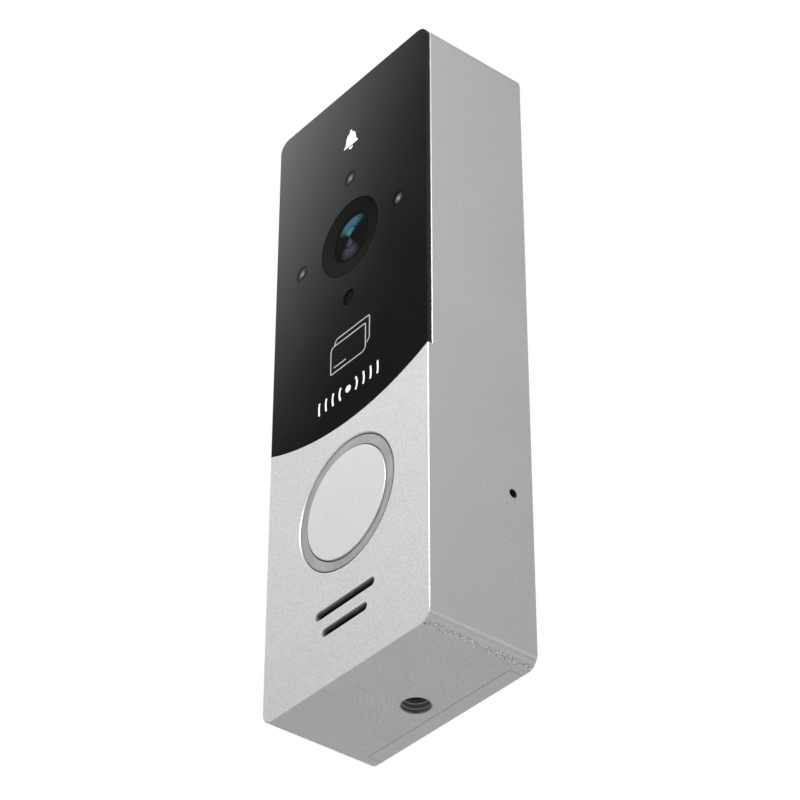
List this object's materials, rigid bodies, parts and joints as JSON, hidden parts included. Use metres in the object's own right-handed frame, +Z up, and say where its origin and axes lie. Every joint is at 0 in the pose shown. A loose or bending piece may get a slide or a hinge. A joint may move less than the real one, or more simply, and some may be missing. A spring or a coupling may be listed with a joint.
{
  "type": "video doorbell",
  "caption": "Slim wall-mounted video doorbell panel: aluminium housing, black window over a camera, round lit call button, speaker slots and steel wall bracket.",
  "frame": {"origin": "centre of the back, on the wall plane", "axes": "+Z up the panel's height, +Y into the wall, +X to the right seen from the front; the front faces -Y"},
  "size_m": [0.048, 0.025, 0.142],
  "materials": {
    "aluminium_body": "fine sand-blasted, clear anodised",
    "aluminium_button": "satin anodised",
    "black_glass": "polished black",
    "optical_glass": "coated, clear",
    "filter_glass": "infrared-cut tint",
    "foam_tape": "matt foam",
    "black_rubber": "matt",
    "black_plastic": "fine matt",
    "grey_plastic": "moulded satin",
    "light_guide": "frosted diffuser",
    "lamp_resin": "clear tinted resin",
    "led_white": "resin",
    "zinc_steel": "zinc plated",
    "black_screw": "black oxide",
    "bracket_steel": "silver powder coat",
    "circuit_board": "solder mask",
    "chip_epoxy": "moulded epoxy",
    "relay_case": "moulded",
    "capacitor_can": "sleeved can",
    "header_nylon": "natural nylon",
    "copper_coil": "enamelled copper",
    "ferrite": "sintered",
    "cone_paper": "film",
    "cable_film": "polyester film",
    "lead_wire": "insulated",
    "spring_steel": "bright"
  },
  "bodies": {
    "panel": {"housing": "aluminium_body", "front_window": "black_glass", "window_tape": "foam_tape", "rear_cover": "black_plastic", "rear_gasket": "black_rubber", "wall_bracket": "bracket_steel", "screw_well": "black_plastic", "security_screw": "black_screw", "rear_cover_screws": "zinc_steel", "header_seal": "black_rubber", "inner_frame": "black_plastic", "frame_screws": "zinc_steel", "main_board": "circuit_board", "board_screws": "zinc_steel", "board_chips": "chip_epoxy", "lock_relay": "relay_case", "capacitors": "capacitor_can", "wire_headers": "header_nylon", "camera_board": "circuit_board", "image_sensor": "chip_epoxy", "lens_holder": "black_plastic", "ir_filter": "filter_glass", "lens_barrel": "black_plastic", "lens_front_element": "optical_glass", "lens_inner_element": "optical_glass", "lens_hood": "black_plastic", "hood_seal": "foam_tape", "ir_led_board": "circuit_board", "ir_leds": "lamp_resin", "led_sleeves": "black_rubber", "light_sensor": "lamp_resin", "camera_cable": "cable_film", "coil_former": "ferrite", "reader_coil": "copper_coil", "light_ring": "light_guide", "light_ring_gasket": "black_rubber", "button_spring": "spring_steel", "button_guide": "grey_plastic", "ring_leds": "led_white", "button_board": "circuit_board", "button_board_screws": "zinc_steel", "call_switch": "black_plastic", "button_cable": "cable_film", "speaker_grille": "black_plastic", "speaker_mesh": "black_screw", "speaker_gasket": "foam_tape", "speaker_basket": "black_plastic", "speaker_magnet": "zinc_steel", "speaker_clamp": "grey_plastic", "speaker_screws": "zinc_steel", "microphone_capsule": "capacitor_can", "microphone_boot": "black_rubber", "audio_leads": "lead_wire"},
    "call_button": {"button_cap": "aluminium_button", "button_carrier": "black_plastic", "button_seal": "black_rubber"},
    "switch_plunger": {"switch_plunger": "grey_plastic"},
    "speaker_cone": {"speaker_cone": "cone_paper", "voice_coil": "copper_coil"}
  },
  "joints": [
    {"name": "button_press", "type": "slide", "parent": "panel", "child": "call_button", "axis": [0, 1, 0], "range_m": [0, 0.0006], "stiffness_N_per_m": 1500, "springref_m": -0.001, "deforming": ["button_spring"]},
    {"name": "switch_press", "type": "slide", "parent": "panel", "child": "switch_plunger", "axis": [0, 1, 0], "range_m": [0, 0.0007]},
    {"name": "cone_stroke", "type": "slide", "parent": "panel", "child": "speaker_cone", "axis": [0, 1, 0], "range_m": [-0.0003, 0.0003], "stiffness_N_per_m": 1000}
  ],
  "couplings": [
    {"joint": "switch_press", "follows": "button_press", "ratio": 1}
  ]
}
